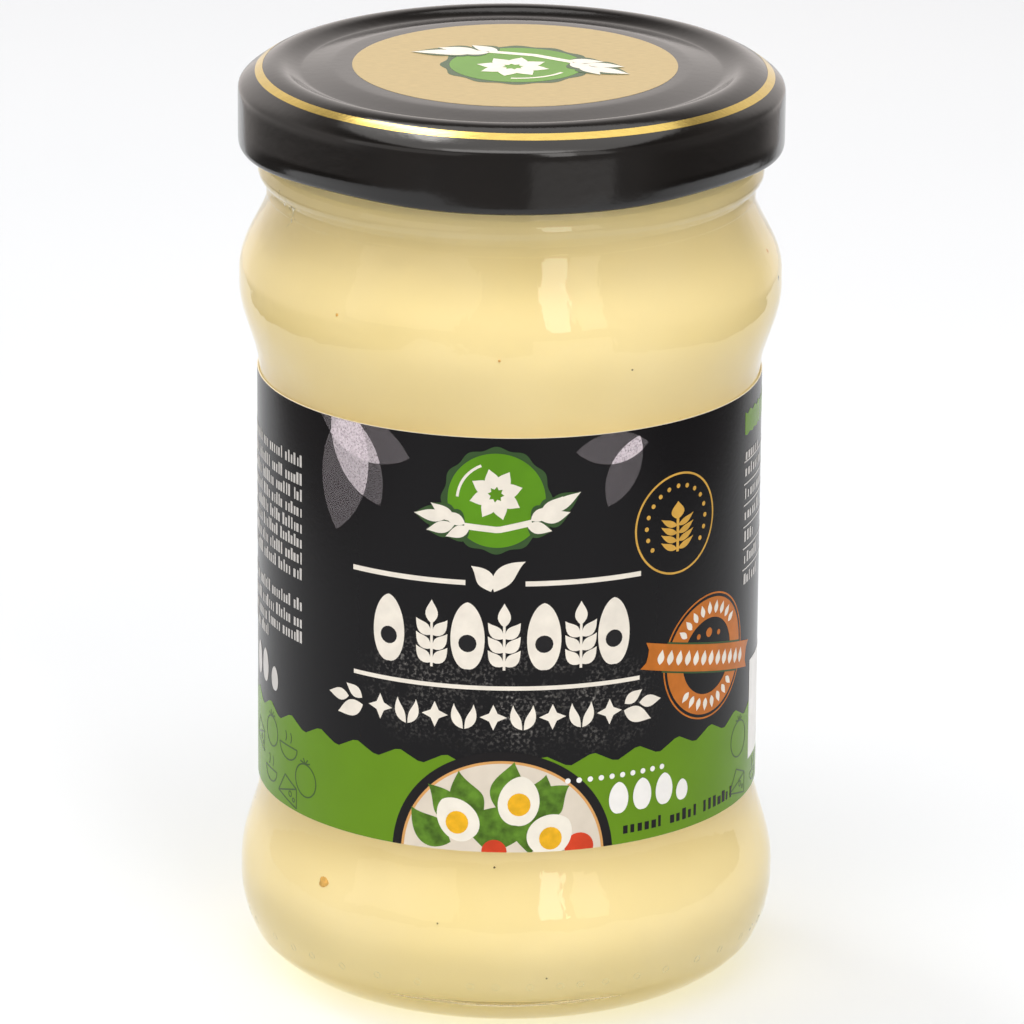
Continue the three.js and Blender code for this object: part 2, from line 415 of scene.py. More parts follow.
clear_glass, tree, shader = material(
    "clear_glass",
    Base_Color=(0.97, 0.985, 0.95, 1.0),
    Roughness=0.02,
    IOR=1.5,
    Transmission_Weight=1.0,
)
plain_foot, full_ripple = 0.006, 0.013
above_foot = smooth(tree, parts(tree)["Z"], plain_foot, full_ripple)
swell_strength = math_node(tree, "MULTIPLY", above_foot, 0.3)
fine_strength = math_node(tree, "MULTIPLY", above_foot, 0.26)
swell = bump(tree, noise(tree, 220.0, 1.0), swell_strength, 0.0003)
fine = bump(tree, noise(tree, 950.0, 1.0, (1.0, 1.0, 0.6)), fine_strength, 0.00006, Normal=swell)
tree.links.new(fine, shader.inputs["Normal"])
lit_through(tree, shader, (1.0, 1.0, 0.97, 1.0))
glass_grid = turned(glass_radius, profile_z, glass_turns)
glass = make_piece("jar_glass", [[(glass_grid, False, True)]], clear_glass)
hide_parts("glass_jar")


# Mayonnaise: a stiff pale cream that fills the jar to under the lid. It wets the glass, so the
# piece reaches a little way into the wall and no air shows between them.
reach_into_wall = 0.3
fill_level = 109.0
cream_r, cream_z = inner_profile(-reach_into_wall)
cream_r = np.concatenate([cream_r, [bore_radius, bore_radius - 1.5, bore_radius / 2, 0.0]])
cream_z = np.concatenate([cream_z, [fill_level - 0.6, fill_level, fill_level, fill_level]])
cream_turns = 160
cream_angle = np.arange(cream_turns)[None, :] * 2 * np.pi / cream_turns
folds = ripple(cream_angle, cream_z[:, None], 11, 12, 0.12)
folds = folds * (rise(cream_z, 9, 16) * (1 - rise(cream_z, 96, 102)))[:, None]
cream_radius = np.where(cream_r[:, None] < 1e-6, 0.0, cream_r[:, None] + folds)

mayonnaise_cream, tree, shader = material("mayonnaise_cream", Roughness=0.5, Specular_IOR_Level=0.05)
cream_colours = [(0.25, rgb(248, 229, 168)), (0.6, rgb(252, 234, 178)), (0.85, rgb(254, 237, 186))]
paint(tree, shader, noise(tree, 55.0, 1.0), *cream_colours)
lit_through(tree, shader, (1.0, 0.96, 0.84, 1.0))
cream_grid = turned(cream_radius, cream_z, cream_turns)
cream = make_piece("mayonnaise_cream", [[(cream_grid, False, True)]], mayonnaise_cream)
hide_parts("mayonnaise")


# Flecks: bits of mustard and spice against the glass, each a small flattened lump half sunk in the
# cream. The ones in front stand where the photograph shows them, and the ones behind are guessed.
wet_z, wet_r = cream_z[14:-4], cream_r[14:-4]


def fleck(bearing, height, half_width, half_height):
    """A flattened ball at a bearing in degrees from the front, lying in the cream's surface."""
    polar = np.linspace(0, np.pi, 8)[:, None]
    round_it = np.arange(14) * 2 * np.pi / 14
    across = half_width * np.sin(polar) * np.cos(round_it) * (1 + 0.2 * np.cos(3 * round_it))
    up = half_height * np.sin(polar) * np.sin(round_it)
    radius = np.interp(height + up, wet_z, wet_r)
    angle = math.radians(bearing) + across / radius
    out = radius + 0.05 + 0.17 * np.cos(polar)
    return [(np.stack([out * np.sin(angle), -out * np.cos(angle), height + up], -1), False, True)]


draw = np.random.default_rng(5)
mustard = [(-45.6, 16.9, 0.78, 0.66), (-40.5, 92.9, 0.18, 0.18), (-2.2, 89.6, 0.16, 0.16)]
spice = [(-2.7, 22.2, 0.13, 0.13), (-15.2, 14.9, 0.09, 0.09)]
spice += [(27.7, 87.6, 0.11, 0.10), (9.5, 8.0, 0.10, 0.10)]
for flecks in (mustard, spice):
    for _ in range(7):
        size = draw.uniform(0.08, 0.24)
        level = draw.choice([draw.uniform(8, 22), draw.uniform(84, 100)])
        flecks.append((draw.uniform(80, 280), level, size, size * draw.uniform(0.8, 1.2)))
for name, colour, flecks in (
    ("mustard", rgb(226, 178, 92), mustard),
    ("spice", rgb(92, 76, 48), spice),
):
    finish, tree, shader = material(f"{name}_fleck", Roughness=0.5, Specular_IOR_Level=0.1)
    paint(tree, shader, noise(tree, 2500.0), (0.3, shade(colour, 0.8)), (0.7, shade(colour, 1.2)))
    make_piece(f"{name}_flecks", [fleck(*spec) for spec in flecks], finish)


# Lid: a tinplate twist-off cap, drawn from one sheet, with a flat middle, a shallow channel, a
# round ridge over the rim, a straight skirt and a rolled lower edge that four lugs pinch in.
# It is lacquered black outside. The gold ring and disc are printed under the lacquer.
panel_level, panel_edge = 118.6, 22.5
channel_level, channel_inner, channel_outer = 118.05, 26.2, 27.0
ridge_radius, ridge_level = 29.7, 118.9
slope_radius, slope_level = 32.8, 117.6
skirt_radius, shoulder_level = 34.5, 115.2
curl_start, curl_radius, curl_inner, lid_bottom = 110.9, 33.4, 31.8, 108.4
lid_sheet, lid_underside = 0.5, 117.7
lug_count, lug_turn, lug_pinch, lug_lift = 4, math.radians(49.0), 0.5, 0.35


def softened(points, rounds):
    """An outline with its corners cut off again and again, at a quarter and three quarters of
    each side, so that it becomes a smooth curve. The two ends stay where they are."""
    points = np.array(points, float)
    for _ in range(rounds):
        near = points[:-1] * 0.75 + points[1:] * 0.25
        far = points[:-1] * 0.25 + points[1:] * 0.75
        middle = np.stack([near, far], 1).reshape(-1, 2)
        points = np.vstack([points[:1], middle, points[-1:]])
    return points


lid_outline = softened(
    [
        (0.0, lid_underside),
        (skirt_radius - lid_sheet - 1, lid_underside),
        (skirt_radius - lid_sheet, lid_underside - 2),
        (skirt_radius - lid_sheet, curl_start),
        (curl_inner + 0.6, curl_start - 0.7),
        (curl_inner, curl_start - 1.4),
        (curl_inner + 0.3, lid_bottom + 0.2),
        (curl_radius - 0.6, lid_bottom - 0.05),
        (curl_radius + 0.7, lid_bottom + 0.05),
        (skirt_radius - 0.04, lid_bottom + 0.5),
        (skirt_radius, lid_bottom + 1.4),
        (skirt_radius, curl_start + 1),
        (skirt_radius, shoulder_level - 1),
        (skirt_radius, shoulder_level + 0.5),
        (skirt_radius - 0.1, shoulder_level + 1.1),
        (skirt_radius - 0.7, shoulder_level + 1.7),
        (slope_radius, slope_level),
        (ridge_radius + 1.7, ridge_level - 0.4),
        (ridge_radius + 0.4, ridge_level + 0.08),
        (ridge_radius - 0.7, ridge_level + 0.05),
        (channel_outer + 0.8, channel_level + 0.3),
        (channel_outer - 0.2, channel_level - 0.05),
        (channel_inner, channel_level),
        (panel_edge + 0.5, panel_level - 0.06),
        (panel_edge - 0.3, panel_level),
        (panel_edge - 2, panel_level),
        (0.0, panel_level),
    ],
    3,
)
lid_turns = 288
lid_angle = np.arange(lid_turns)[None, :] * 2 * np.pi / lid_turns
lid_r, lid_z = lid_outline[:, :1], lid_outline[:, 1:]
press = (1 - rise(lid_z, lid_bottom, curl_start + 0.6)) * (
    (1 + np.cos(lug_count * (lid_angle - lug_turn))) / 2
) ** 2
press = press * (lid_r > curl_inner - 1)
lid_points = turned(lid_r - lug_pinch * press, lid_z + lug_lift * press, lid_turns)

black_lacquer, tree, shader = material("black_lacquer", Roughness=0.14)
paint(tree, shader, noise(tree, 160.0, 4.0), (0.3, rgb(13, 11, 10)), (0.7, rgb(19, 16, 14)))
tree.links.new(bump(tree, noise(tree, 900.0, 2.0), 0.12, 0.0001), shader.inputs["Normal"])
lid = make_piece("lid_tinplate", [[(lid_points, False, True)]], black_lacquer, 60.0)
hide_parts("lid")

ring_inner, ring_outer, disc_radius, off_centre = 31.8, 32.75, 20.5, 0.4
print_lift = 0.025
top_points = lid_outline[np.argmax(lid_outline[:, 0] > skirt_radius - 0.1) :][::-1]
top_points = top_points[top_points[:, 1] > shoulder_level + 1]
top_order = np.argsort(top_points[:, 0])


def lid_top(radius):
    """The height of the lid's top at a radius, read off its outline."""
    return np.interp(radius, top_points[top_order, 0], top_points[top_order, 1])


def lid_print(inner, outer, rows):
    """A closed thin band that follows the lid's top between two radii, just proud of it. The
    print sits a little off the middle of the lid."""
    over = np.linspace(inner, outer, rows)
    band = turned(np.concatenate([over, over[::-1]]), np.zeros(2 * rows), 200)
    band[..., 0] += off_centre
    lift = np.where(np.arange(2 * rows) < rows, print_lift, -print_lift)
    band[..., 2] = lid_top(np.hypot(band[..., 0], band[..., 1])) + lift[:, None]
    return band


def gold_lacquer(name, colour, metallic, roughness):
    """Gold printing ink under clear lacquer, with the fine grain of rolled sheet."""
    made, tree, shader = material(name, Metallic=metallic, Roughness=roughness)
    grain = noise(tree, 700.0, 3.0, (1.0, 6.0, 1.0))
    paint(tree, shader, grain, (0.3, shade(colour, 0.92)), (0.7, shade(colour, 1.08)))
    tree.links.new(bump(tree, grain, 0.2, 0.00005), shader.inputs["Normal"])
    return made


for name, band, finish in (
    ("ring", (ring_inner, ring_outer, 12), (rgb(200, 174, 95), 0.8, 0.17)),
    ("disc", (0.0, disc_radius, 16), (rgb(199, 178, 126), 0.6, 0.4)),
):
    gold = gold_lacquer(f"gold_{name}_lacquer", *finish)
    printed = make_piece(f"lid_gold_{name}", [[(lid_print(*band), True, True)]], gold)


# Label: coated paper, printed nearly black, that runs once round the straight panel and laps over
# itself at the back. Its cut edges show the white of the paper. Faint chalk dust is printed behind
# the middle of the front.
label_bottom, label_top = 24.9, 79.4
label_inner, label_radius = 32.0, 32.15
lap, lap_rise = 4.0, 0.12
label_half = math.pi * label_radius + lap / 2
cut_edge = 0.03
paper_tint = (0.65, 0.63, 0.58, 1.0)


def on_label(across, height, lift):
    """Points on the label: across is millimetres of arc from the middle of the front, height is
    millimetres above the floor, and lift is how proud of the paper they stand, more on the lap."""
    angle = across / label_radius
    radius = label_radius + lift + lap_rise * rise(across, label_half - 2 * lap, label_half - lap)
    return np.stack([radius * np.sin(angle), -radius * np.cos(angle), height + 0 * radius], -1)


def slab(place, across, height, over, under, closed=False):
    """A thin closed body over a grid: its upper side at one lift, its lower side at another, and
    its two ends, which are left out where the columns close in a ring."""
    upper = place(across, height, over)
    lower = place(across, height, under)
    skin = np.concatenate([upper, lower[::-1]])
    if closed:
        return [(skin, True, True)]
    ends = [(np.stack([upper[:, k], lower[:, k]], 1), False, False) for k in (0, -1)]
    return [(skin, True, False), *ends]


label_across = np.linspace(-label_half, label_half, 400)
bottom_rows, top_rows = [label_bottom, label_bottom + cut_edge], [label_top - cut_edge, label_top]
label_rows = np.concatenate([bottom_rows, np.linspace(26, 78, 9), top_rows])
bevel = np.where((label_rows == label_bottom) | (label_rows == label_top), -cut_edge, 0.0)
label_grid = np.meshgrid(label_across, label_rows)

label_black, tree, shader = material("label_black", Roughness=0.22, Specular_IOR_Level=0.16)
place = parts(tree)
chalk_spots = [(-11.0, 47.0, 9.0, 9.0), (2.0, 45.0, 12.0, 10.0), (12.0, 44.0, 9.0, 8.0)]
near = 0.0
turn = math_node(tree, "ARCTAN2", place["X"], math_node(tree, "MULTIPLY", place["Y"], -1.0))
for across, level, reach_across, reach_up in chalk_spots:
    squares = []
    for value, scale, middle, reach in (
        (turn, label_radius, across, reach_across),
        (place["Z"], 1000.0, level, reach_up),
    ):
        part = math_node(tree, "MULTIPLY_ADD", value, scale / reach, -middle / reach)
        squares.append(math_node(tree, "MULTIPLY", part, part))
    away = math_node(tree, "SQRT", math_node(tree, "ADD", *squares))
    near = math_node(tree, "MAXIMUM", near, smooth(tree, away, 1.1, 0.2))
for scale, start, end in ((2400.0, 0.5, 0.74), (260.0, 0.38, 0.62)):
    values = {"Value": noise(tree, scale, 3.0), "From Min": start, "From Max": end}
    near = math_node(tree, "MULTIPLY", near, node(tree, "MapRange", values).outputs[0])
chalk_colours = [(0.0, rgb(17, 16, 18)), (0.5, rgb(84, 82, 80)), (1.0, rgb(150, 147, 143))]
paint(tree, shader, near, *chalk_colours)
tree.links.new(bump(tree, noise(tree, 1500.0, 2.0), 0.15, 0.00005), shader.inputs["Normal"])
lit_through(tree, shader, paper_tint)
paper_white, tree, shader = material("paper_white", Roughness=0.7)
paint(tree, shader, noise(tree, 1800.0), (0.3, rgb(236, 228, 208)), (0.7, rgb(246, 240, 226)))
lit_through(tree, shader, paper_tint)
label_sheet = slab(on_label, *label_grid, bevel[:, None], label_inner - label_radius)
label = make_piece("label_paper", [label_sheet], label_black)
label.data.materials.append(paper_white)
places = np.empty(len(label.data.vertices) * 3)
label.data.vertices.foreach_get("co", places)
corners = np.empty(len(label.data.polygons) * 3, np.int32)
label.data.polygons.foreach_get("vertices", corners)
middles = places.reshape(-1, 3)[corners.reshape(-1, 3)].mean(axis=1) * 1000
bare = (np.hypot(middles[:, 0], middles[:, 1]) < label_radius - 0.03) | (
    (middles[:, 2] < label_bottom + cut_edge) | (middles[:, 2] > label_top - cut_edge)
)
label.data.polygons.foreach_set("material_index", bare.astype(np.int32))
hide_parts("label")


# Shapes of print: each is a grid of places on a flat sheet, in millimetres across and up, with a
# flag that tells whether its columns close in a ring. Every shape becomes a thin closed slab of
# ink, laid on the label or on the lid, and the shapes of one colour make one piece.
ink_depth, ink_step = 0.012, 0.0016


def disc(centre, outer, inner=0.0, stretch=1.0, turn=0.0):
    """A round patch between two radii, which may change with the angle, lengthened upwards by
    stretch and then turned by an angle in degrees."""
    count = int(np.clip(np.max(outer) * 14, 16, 200)) if np.ndim(outer) == 0 else len(outer)
    angle = np.arange(count) * 2 * np.pi / count
    rows = int(np.ceil(np.max(np.subtract(outer, inner)) / 0.8)) + 1
    share = np.linspace(0, 1, rows)[:, None]
    radius = inner + (outer - inner) * share
    x, y = radius * np.cos(angle), radius * np.sin(angle) * stretch
    lean = math.radians(turn)
    across = centre[0] + x * math.cos(lean) - y * math.sin(lean)
    return np.stack([across, centre[1] + x * math.sin(lean) + y * math.cos(lean)], -1), True


def egg(centre, half_width, half_height, turn=0.0):
    """An egg's outline: an oval whose upper half narrows with the sine of the angle."""
    angle = np.arange(40) * 2 * np.pi / 40
    radius = half_width * (1 - 0.10 * np.sin(angle) * np.abs(np.cos(angle)))
    return disc(centre, radius, 0.0, half_height / half_width, turn)


def leaf(base, tip, width, bend=0.0, shape=0.8):
    """A pointed leaf: a spine bowed from base to tip, widened on both sides by a sine wave that
    peaks a little before the middle."""
    base, along = np.array(base, float), np.subtract(tip, base)
    share = np.linspace(0, 1, int(np.clip(np.hypot(*along) * 3, 9, 28)))[:, None]
    side = np.array([-along[1], along[0]])
    spine = base + along * share + side * bend * 4 * share * (1 - share)
    run = along + side * bend * 4 * (1 - 2 * share)
    normal = np.stack([-run[:, 1], run[:, 0]], -1) / np.hypot(*run.T)[:, None]
    half = width / 2 * np.clip(np.sin(np.pi * share**shape), 0, 1) ** 1.15
    return spine + np.linspace(-1, 1, 5)[:, None, None] * (half * normal), False


def stroke(points, width):
    """A line of even width along a path, with a point at least every 0.6 mm."""
    points = np.array(points, float)
    run = np.concatenate([[0], np.cumsum(np.hypot(*np.diff(points, axis=0).T))])
    even = np.linspace(0, run[-1], int(run[-1] / 0.6) + 2)
    path = np.stack([np.interp(even, run, points[:, k]) for k in (0, 1)], -1)
    ahead = np.gradient(path, axis=0)
    normal = np.stack([-ahead[:, 1], ahead[:, 0]], -1) / np.hypot(*ahead.T)[:, None]
    return path + np.array([-1, 1])[:, None, None] * normal * width / 2, False


def circle(centre, radius, width):
    """A ring drawn as a line."""
    return disc(centre, radius + width / 2, radius - width / 2)


def bar(left, right, bottom, top):
    """A rectangle. Its lower and upper sides may be curves, given as one height per column."""
    curve = max(np.size(bottom), np.size(top))
    across = np.linspace(left, right, curve if curve > 1 else int((right - left) / 0.7) + 2)
    heights = np.stack([bottom + 0 * across, top + 0 * across])
    return np.stack([np.stack([across, across]), heights], -1), False


def print_piece(name, finish, *layers, place=on_label, low=label_bottom, high=label_top):
    """A piece of one ink. Each layer is a lift and a list of shapes, cut at the sheet's edges, and
    neighbours in the list differ a hair in lift, so that shapes that cross don't lie in one plane."""
    bodies = []
    for lift, shapes in layers:
        for count, (grid, closed) in enumerate(shapes):
            height = np.clip(grid[..., 1], low + cut_edge, high - cut_edge)
            over = lift + ink_step * (count % 6)
            bodies.append(slab(place, grid[..., 0], height, over, over - ink_depth, closed))
    piece = make_piece(name, bodies, finish, 60.0)
    piece.visible_shadow = False
    return piece


def ink(name, colour, mottle=0.06, scale=500.0):
    """A printed colour, mottled a little by noise."""
    made, tree, shader = material(name, Roughness=0.26, Specular_IOR_Level=0.16)
    stops = (0.3, shade(colour, 1 - mottle)), (0.7, shade(colour, 1 + mottle))
    paint(tree, shader, noise(tree, scale, 3.0), *stops)
    return made


cream_ink = ink("cream_ink", rgb(238, 232, 220))
grey_ink = ink("grey_ink", rgb(205, 203, 200))
green_ink = ink("green_ink", rgb(101, 143, 20), 0.04, 140.0)
badge_ink = ink("badge_ink", rgb(92, 146, 24), 0.08, 200.0)
dark_green_ink = ink("dark_green_ink", rgb(56, 84, 46))
copper_ink = ink("copper_ink", rgb(194, 112, 38), 0.10)
gold_ink = ink("gold_ink", rgb(212, 166, 76), 0.10)


# Mould marks on the glass: a knot of slivers where the left seam meets the neck, and a row of
# faint raised rings above the heel.
rising_z, rising_r = glass_z[12 : len(glass_z) - 14], glass_r[12 : len(glass_z) - 14]


def on_glass(across, height, lift):
    """Points on the outside of the glass: across is millimetres of arc at the widest radius."""
    angle = across / crest_radius
    radius = np.interp(height, rising_z, rising_r) + lift
    return np.stack([radius * np.sin(angle), -radius * np.cos(angle), height + 0 * radius], -1)


seam_across = crest_radius * seam_turn
marks = []
for start, end, width in (
    ((-0.2, 101.8), (0.9, 104.2), 0.16),
    ((-1.3, 102.6), (0.5, 103.0), 0.12),
    ((-0.9, 103.6), (1.1, 102.4), 0.14),
    ((0.3, 103.2), (0.5, 105.4), 0.22),
    ((-2.4, 103.4), (-1.5, 105.8), 0.18),
    ((0.1, 102.3), (-1.4, 101.0), 0.12),
):
    marks.append(stroke([(seam_across + x, z) for x, z in (start, end)], width))
draw = np.random.default_rng(8)
place_round = -crest_radius * math.pi
while place_round < crest_radius * math.pi:
    marks.append(circle((place_round, 7.3), 0.45, 0.14))
    place_round += draw.uniform(2.6, 7.4)
mark_bodies = [
    slab(on_glass, grid[..., 0], grid[..., 1], 0.015, -0.004, closed) for grid, closed in marks
]
mould_marks = make_piece("jar_mould_marks", mark_bodies, clear_glass, 60.0)


# Leaves: two clusters of see-through grey leaves that hang from the label's upper edge. The ink is
# a faint tint where one leaf lies alone, and a pale grey where two of them cross.
def leaf_ink(name, alpha):
    """See-through pale ink with the fine grain of a printer's screen."""
    made, tree, shader = material(name, Roughness=0.3, Specular_IOR_Level=0.1, Alpha=alpha)
    screen = noise(tree, 4000.0, 1.0)
    paint(tree, shader, screen, (0.35, rgb(206, 196, 204)), (0.65, rgb(244, 236, 242)))
    return made


def lens(base, tip, width):
    """A leaf as the meeting of two equal discs: their centres, their radius and the two points. The
    radius is the sum of the squares of half the length and half the width, over the width."""
    base, tip = np.array(base, float), np.array(tip, float)
    length = np.hypot(*(tip - base))
    radius = (length**2 + width**2) / (4 * width)
    aside = np.array([base[1] - tip[1], tip[0] - base[0]]) / length * (radius - width / 2)
    return [((base + tip) / 2 + aside, radius), ((base + tip) / 2 - aside, radius)], [base, tip]


def meeting(inside, *lenses):
    """The patch that all the lenses share, seen from a point inside it: at each angle it reaches
    to the nearest of the discs' edges, found from the ray and circle formula."""
    toward = np.concatenate([tips for _, tips in lenses]) - inside
    to_tips = np.arctan2(toward[:, 1], toward[:, 0]) % (2 * np.pi)
    angle = np.sort(np.append(np.arange(120) * np.pi / 60, to_tips))
    ray = np.stack([np.cos(angle), np.sin(angle)])
    edge = np.full(len(angle), np.inf)
    for centre, radius in [part for discs, _ in lenses for part in discs]:
        offset = centre - np.array(inside)
        along = offset @ ray
        edge = np.minimum(edge, along + np.sqrt(np.maximum(along**2 - offset @ offset + radius**2, 0)))
    share = np.linspace(0, 1, int(edge.max() / 0.8) + 2)[:, None, None]
    return np.array(inside) + share * (edge * ray).T, True


side_leaf = lens((-26.4, 79.8), (-12.6, 75.9), 6.0)
middle_leaf = lens((-24.0, 81.4), (-16.7, 69.2), 6.2)
low_leaf = lens((-20.9, 81.4), (-23.5, 64.8), 7.4)
level_leaf = lens((8.4, 77.3), (18.3, 77.5), 4.1)
upright_leaf = lens((17.0, 78.6), (12.7, 69.9), 4.2)
right_crossing = meeting((15.5, 77.0), level_leaf, upright_leaf)
print_piece(
    "label_leaves",
    leaf_ink("leaf_ink", 0.06),
    (0.020, [meeting((-19.0, 77.0), side_leaf), meeting((13.3, 77.4), level_leaf)]),
    (0.034, [meeting((-20.3, 75.2), middle_leaf), meeting((14.9, 74.2), upright_leaf)]),
    (0.048, [meeting((-22.2, 73.0), low_leaf)]),
)
print_piece(
    "label_leaf_overlaps",
    leaf_ink("leaf_ink_light", 0.34),
    (0.062, [meeting((-20.5, 77.0), side_leaf, middle_leaf), right_crossing]),
    (0.076, [meeting((-21.0, 77.0), side_leaf, low_leaf), right_crossing]),
    (0.090, [meeting((-20.8, 74.5), middle_leaf, low_leaf)]),
)


# Green field: a band along the label's lower edge under a zigzag, and a tag high on its right.
zigzag_peak, zigzag_valley, zigzag_pitch, zigzag_start = 37.7, 36.1, 6.27, -1.4
band_across = np.append(np.arange(-label_half, label_half, zigzag_pitch / 8), label_half)
wave = np.abs(((band_across - zigzag_start) / zigzag_pitch + 0.5) % 1 - 0.5) * 2
band_top = zigzag_peak - (zigzag_peak - zigzag_valley) * wave
tag_across = np.arange(38.0, 60.0, 0.35)
tag_wave = np.abs((tag_across / 2.1) % 1 - 0.5) * 1.1
green_shapes = [
    bar(band_across[0], band_across[-1], label_bottom, band_top),
    bar(38.0, tag_across[-1], 73.6 + tag_wave * 0.6, 76.4 + tag_wave),
]
print_piece("label_green_field", green_ink, (0.020, green_shapes))


# Rosette: a scalloped green badge with a cream flower, between two sprigs. It is printed twice,
# once on the label and once, larger, on the lid.
def rosette(centre, size, lean=0.0):
    """The shapes of a rosette in three colours: dark rim, green field and cream flower."""
    angle = np.arange(144) * 2 * np.pi / 144
    rim = disc(centre, size * (1 + 0.03 * np.cos(12 * angle)))
    field = disc(centre, size * 0.90)
    turn = math.radians(lean)

    def at(x, y):
        """A place in the rosette, in sizes from its middle and turned by its lean."""
        return (
            centre[0] + size * (x * math.cos(turn) - y * math.sin(turn)),
            centre[1] + size * (x * math.sin(turn) + y * math.cos(turn)),
        )

    def around(reach, angle, lift=0.0):
        """The place at a reach and an angle from the middle, or from a little above it."""
        return at(reach * math.cos(angle), lift + reach * math.sin(angle))

    petals = [
        leaf(around(0.1, angle, 0.12), around(0.5, angle, 0.12), size * 0.27)
        for angle in np.arange(8) * np.pi / 4 + 0.2
    ]
    sprigs = []
    for side in (-1, 1):
        sprigs += [
            ((0.60 * side, -0.42), (1.02 * side, -0.20)),
            ((0.78 * side, -0.36), (1.22 * side, -0.02)),
            ((0.92 * side, -0.30), (1.56 * side, -0.10 + 0.12 * side)),
            ((0.80 * side, -0.44), (1.34 * side, -0.44 + 0.10 * side)),
            ((0.52 * side, -0.50), (0.98 * side, -0.66)),
        ]
    edges = [leaf(at(*base), at(*tip), size * 0.40) for base, tip in sprigs]
    leaves = [leaf(at(*base), at(*tip), size * 0.23) for base, tip in sprigs]
    band = [stroke([at(-0.62, -0.46), at(0.0, -0.56), at(0.62, -0.46)], size * 0.12)]
    highlight = [stroke([around(0.72, angle) for angle in np.linspace(1.9, 3.0, 12)], size * 0.05)]
    return [rim, *edges], [field], petals + leaves + band + highlight


rims, fields, creams = rosette((-1.5, 71.3), 6.8, 4.0)
print_piece("label_rosette_rim", dark_green_ink, (0.024, rims[:1]), (0.058, rims[1:]))
print_piece("label_rosette_field", badge_ink, (0.040, fields))
print_piece("label_rosette_flower", cream_ink, (0.076, creams))


# Middle of the label: two rules with a pair of leaves, a row of seven eggs and sprigs between
# them, and a row of nine small shapes with a sprig at each end under them.
def sprig(centre, height, width, pairs):
    """An upright twig: a stem with pairs of leaves and one leaf on top."""
    foot = centre[1] - height / 2
    step = height * 0.62 / pairs
    shapes = [stroke([(centre[0], foot), (centre[0], foot + height * 0.8)], width * 0.08)]
    for k in range(pairs):
        low = foot + height * 0.06 + step * k
        for side in (-1, 1):
            tip = (centre[0] + side * width / 2, low + step * 1.15)
            shapes.append(leaf((centre[0] + side * 0.05, low), tip, step * 0.85, -0.06 * side))
    top = (centre[0], foot + height * 0.64)
    return shapes + [leaf(top, (centre[0], foot + height), width * 0.40)]


def end_sprig(foot, side):
    """Three separate leaves that spread from near one point, to the left for side -1 and to the
    right for 1: a small one above, a long one level and a broad one below."""
    leaves = [(0.3, 0.6, 2.8, 2.1, 1.5), (2.4, 0.4, 5.7, 0.4, 1.6), (0.2, -0.3, 4.2, -2.0, 2.1)]
    return [
        leaf((foot[0] + a * side, foot[1] + b), (foot[0] + c * side, foot[1] + d), wide)
        for a, b, c, d, wide in leaves
    ]


rules = [bar(-20.7, -5.3, 60.15, 60.8), bar(2.2, 17.4, 60.15, 60.8), bar(-20.6, 17.4, 46.45, 47.0)]
leaf_pair = [leaf((-2.1, 59.4), (-4.6, 62.7), 2.2, -0.10), leaf((-1.7, 59.4), (2.2, 63.4), 2.4, 0.10)]
title_places = [-15.4, -9.6, -5.0, -0.4, 4.6, 9.3, 13.7]
title_middle, title_height = 53.5, 8.8
title, yolks = [], []
for k, across in enumerate(title_places):
    if k % 2:
        title += sprig((across, title_middle), title_height, 4.1, 3)
    else:
        title.append(egg((across, title_middle), 2.15, title_height / 2))
        yolks.append(disc((across, title_middle - 1.0), 1.15))
small_places = np.linspace(-16.6, 13.2, 9)
small = []
for k, across in enumerate(small_places):
    if k % 2:
        small += [
            leaf((across + 0.1 * side, 41.2), (across + 1.25 * side, 44.5), 1.25, -0.10 * side)
            for side in (-1, 1)
        ]
    else:
        small.append(disc((across, 42.85), np.array([1.7, 0.75] * 4)))
small += end_sprig((-19.0, 42.8), -1) + end_sprig((15.0, 43.0), 1)
print_piece("label_cream_print", cream_ink, (0.040, rules + leaf_pair + title + small))
yolk_black = ink("yolk_black", rgb(30, 29, 31), 0.1)
print_piece("label_egg_yolks", yolk_black, (0.056, yolks))


# Gold emblem: a thin ring with a sprig and an arc of dots, high on the right.
emblem = (23.1, 66.0)
dot_turns = np.radians(np.linspace(-35, 215, 15))
dot_places = np.stack([np.cos(dot_turns), np.sin(dot_turns)], -1) * 4.9 + emblem
emblem_shapes = [circle(emblem, 6.5, 0.27)] + [disc(at, 0.30) for at in dot_places]
emblem_shapes += sprig((emblem[0], emblem[1] - 0.4), 6.6, 5.4, 4)
print_piece("label_gold_emblem", gold_ink, (0.024, emblem_shapes))


# Copper seal: a broad ring inside a thin one, crossed by a ribbon with notched ends, with rows of
# small cream lozenges on the ring and the ribbon.
seal, ribbon_slope, ribbon_half = (29.3, 47.0), math.radians(-13.5), (11.4, 1.75)
seal_rings = [circle(seal, 8.15, 0.22), disc(seal, 7.65, 5.0)]
print_piece("label_seal_rings", copper_ink, (0.020, seal_rings))


def on_ribbon(along, up):
    """A place on the ribbon, along it and across it from its middle, as a place on the label."""
    return (
        seal[0] - 0.3 + along * math.cos(ribbon_slope) - up * math.sin(ribbon_slope),
        seal[1] - 0.2 + along * math.sin(ribbon_slope) + up * math.cos(ribbon_slope),
    )


